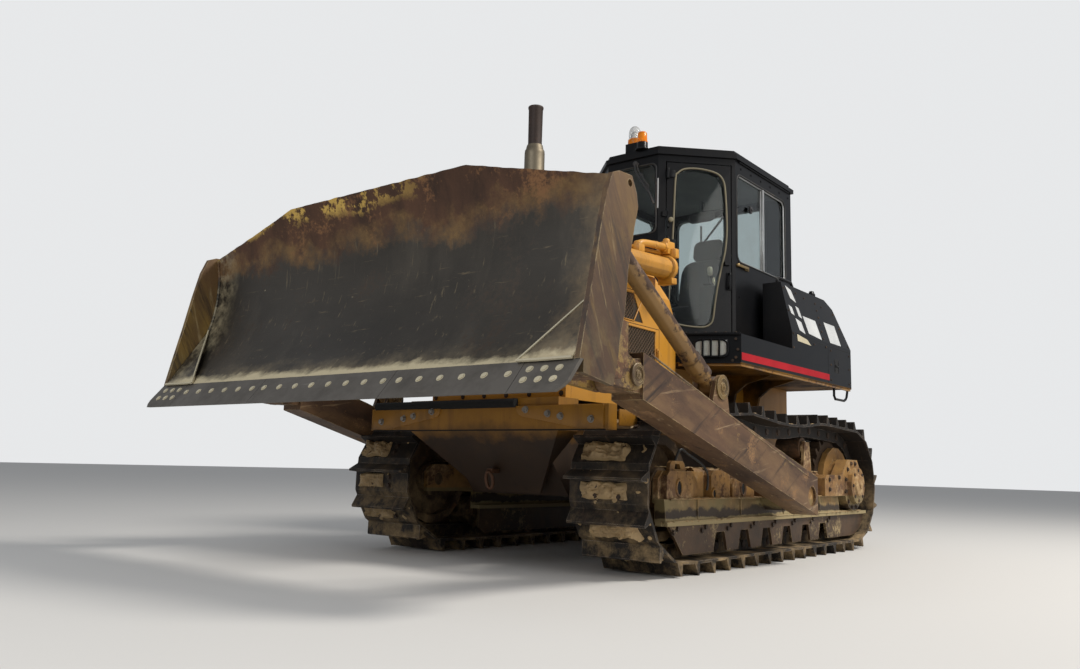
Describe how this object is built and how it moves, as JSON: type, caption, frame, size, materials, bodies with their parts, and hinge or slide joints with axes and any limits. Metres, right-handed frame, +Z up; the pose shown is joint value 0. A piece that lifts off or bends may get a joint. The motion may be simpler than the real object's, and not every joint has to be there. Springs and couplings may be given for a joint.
{
  "type": "crawler bulldozer",
  "caption": "Crawler bulldozer with a raised straight blade on outside push arms, tracks with single-bar shoes, a six-sided cab with side doors and a rear drawbar.",
  "frame": {"origin": "on the ground at the middle of the overall length, on the machine's centre plane", "axes": "+X forward to the blade, +Y to the machine's left, +Z up"},
  "size_m": [5.794, 3.484, 3.656],
  "materials": {
    "yellow": "worn satin",
    "yellow_rust": "dirty, chipped paint",
    "black": "satin",
    "black_interior": "matte",
    "blade_steel": "scoured steel",
    "blade_ochre": "rusty paint",
    "edge_steel": "scratched steel",
    "track_steel": "dark steel with dried mud",
    "undercarriage": "muddy steel",
    "chrome": "bright",
    "exhaust": "heat-stained",
    "glass": "clear, slightly green",
    "seat_fabric": "worn",
    "mesh": "dark wire mesh",
    "lamp_glass": "ribbed lens",
    "amber": "clear orange"
  },
  "bodies": {
    "chassis": {"track_left": "track_steel", "track_right": "track_steel", "sprockets": "undercarriage", "idlers": "undercarriage", "track_rollers": "undercarriage", "carrier_rollers": "undercarriage", "track_frame_left": "yellow_rust", "track_frame_right": "yellow_rust", "final_drives": "yellow_rust", "hull": "yellow_rust", "equalizer_bar": "undercarriage", "cross_shafts": "undercarriage", "front_guard": "yellow", "hood": "yellow", "hood_meshes": "mesh", "engine_block": "undercarriage", "cowl": "black", "radiator_guard": "yellow", "exhaust_stack": "exhaust", "platform": "black", "cab_shell": "black", "cab_windows": "glass", "cab_roof": "black", "seat": "seat_fabric", "controls": "black_interior", "side_boxes": "black", "fuel_tank": "black", "hand_rails": "black", "fender_lamps": "lamp_glass", "beacons": "amber", "drawbar": "yellow_rust", "lift_brackets": "yellow"},
    "blade_frame": {"moldboard": "blade_steel", "blade_back": "blade_ochre", "end_plates": "blade_ochre", "cutting_edge": "edge_steel", "end_bits": "edge_steel", "push_arm_left": "blade_ochre", "push_arm_right": "blade_ochre", "brace_left": "blade_ochre", "tilt_cylinder_right": "blade_ochre"},
    "lift_barrel_left": {"lift_barrel_left": "yellow"},
    "lift_rod_left": {"lift_rod_left": "chrome"},
    "door_left": {"door_left": "black", "door_glass_left": "glass"},
    "lift_barrel_right": {"lift_barrel_right": "yellow"},
    "lift_rod_right": {"lift_rod_right": "chrome"},
    "door_right": {"door_right": "black", "door_glass_right": "glass"}
  },
  "joints": [
    {"name": "blade_lift", "type": "hinge", "parent": "chassis", "child": "blade_frame", "pos_m": [-0.35, 0, 0.485], "axis": [0, -1, 0], "range_deg": [-26.5, 4.4]},
    {"name": "lift_swing_left", "type": "hinge", "parent": "chassis", "child": "lift_barrel_left", "pos_m": [1.04, 0.73, 2.07], "axis": [0, -1, 0], "range_deg": [-40.48, 7.56]},
    {"name": "lift_slide_left", "type": "slide", "parent": "lift_barrel_left", "child": "lift_rod_left", "axis": [0.9982, 0, -0.0608], "range_m": [-0.1517, 0.8884]},
    {"name": "lift_swing_right", "type": "hinge", "parent": "chassis", "child": "lift_barrel_right", "pos_m": [1.04, -0.73, 2.07], "axis": [0, -1, 0], "range_deg": [-40.48, 7.56]},
    {"name": "lift_slide_right", "type": "slide", "parent": "lift_barrel_right", "child": "lift_rod_right", "axis": [0.9982, 0, -0.0608], "range_m": [-0.1517, 0.8884]},
    {"name": "door_hinge_left", "type": "hinge", "parent": "chassis", "child": "door_left", "pos_m": [-0.40667, 0.32288, 1.7], "axis": [0, 0, -1], "range_deg": [0, 80]},
    {"name": "door_hinge_right", "type": "hinge", "parent": "chassis", "child": "door_right", "pos_m": [-0.40667, -0.32288, 1.7], "axis": [0, 0, 1], "range_deg": [0, 80]}
  ],
  "couplings": [
    {"joint": "lift_swing_left", "follows": "blade_lift", "ratio": 1.49},
    {"joint": "lift_slide_left", "follows": "blade_lift", "m_per_rad": -1.91},
    {"joint": "lift_swing_right", "follows": "blade_lift", "ratio": 1.49},
    {"joint": "lift_slide_right", "follows": "blade_lift", "m_per_rad": -1.91}
  ]
}
